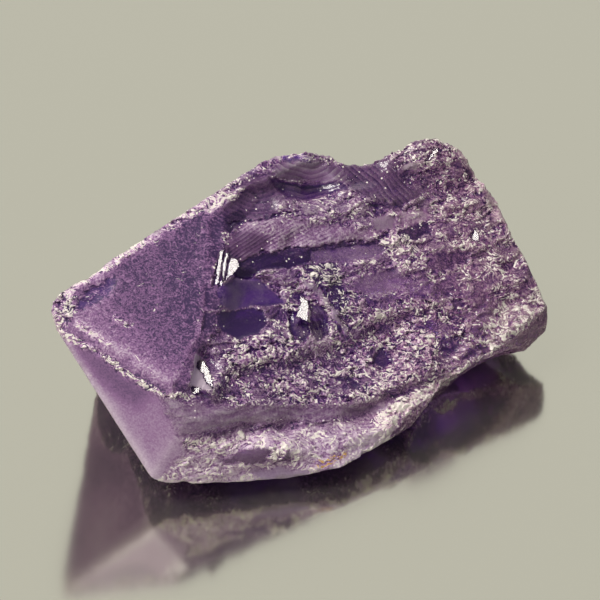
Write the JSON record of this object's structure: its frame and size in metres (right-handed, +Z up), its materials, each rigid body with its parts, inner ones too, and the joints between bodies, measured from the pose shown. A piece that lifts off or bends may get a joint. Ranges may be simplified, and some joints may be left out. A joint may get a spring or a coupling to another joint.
{
  "type": "rough amethyst crystal",
  "caption": "Broken end of a violet quartz crystal: a blunt tip between flat frosted crystal faces, and a sloping stepped fracture over the rest, lying on a flat side.",
  "frame": {"origin": "under the middle of the stone, on the surface that it rests on", "axes": "+Z up; +X from the crystal's tip towards its broken end, along the stone's length; +Y away from the stepped side"},
  "size_m": [0.0428, 0.0292, 0.0205],
  "materials": {
    "amethyst_quartz": "frosted clear violet quartz, glassy in the fresh breaks"
  },
  "bodies": {
    "root": {"amethyst": "amethyst_quartz"}
  },
  "joints": []
}
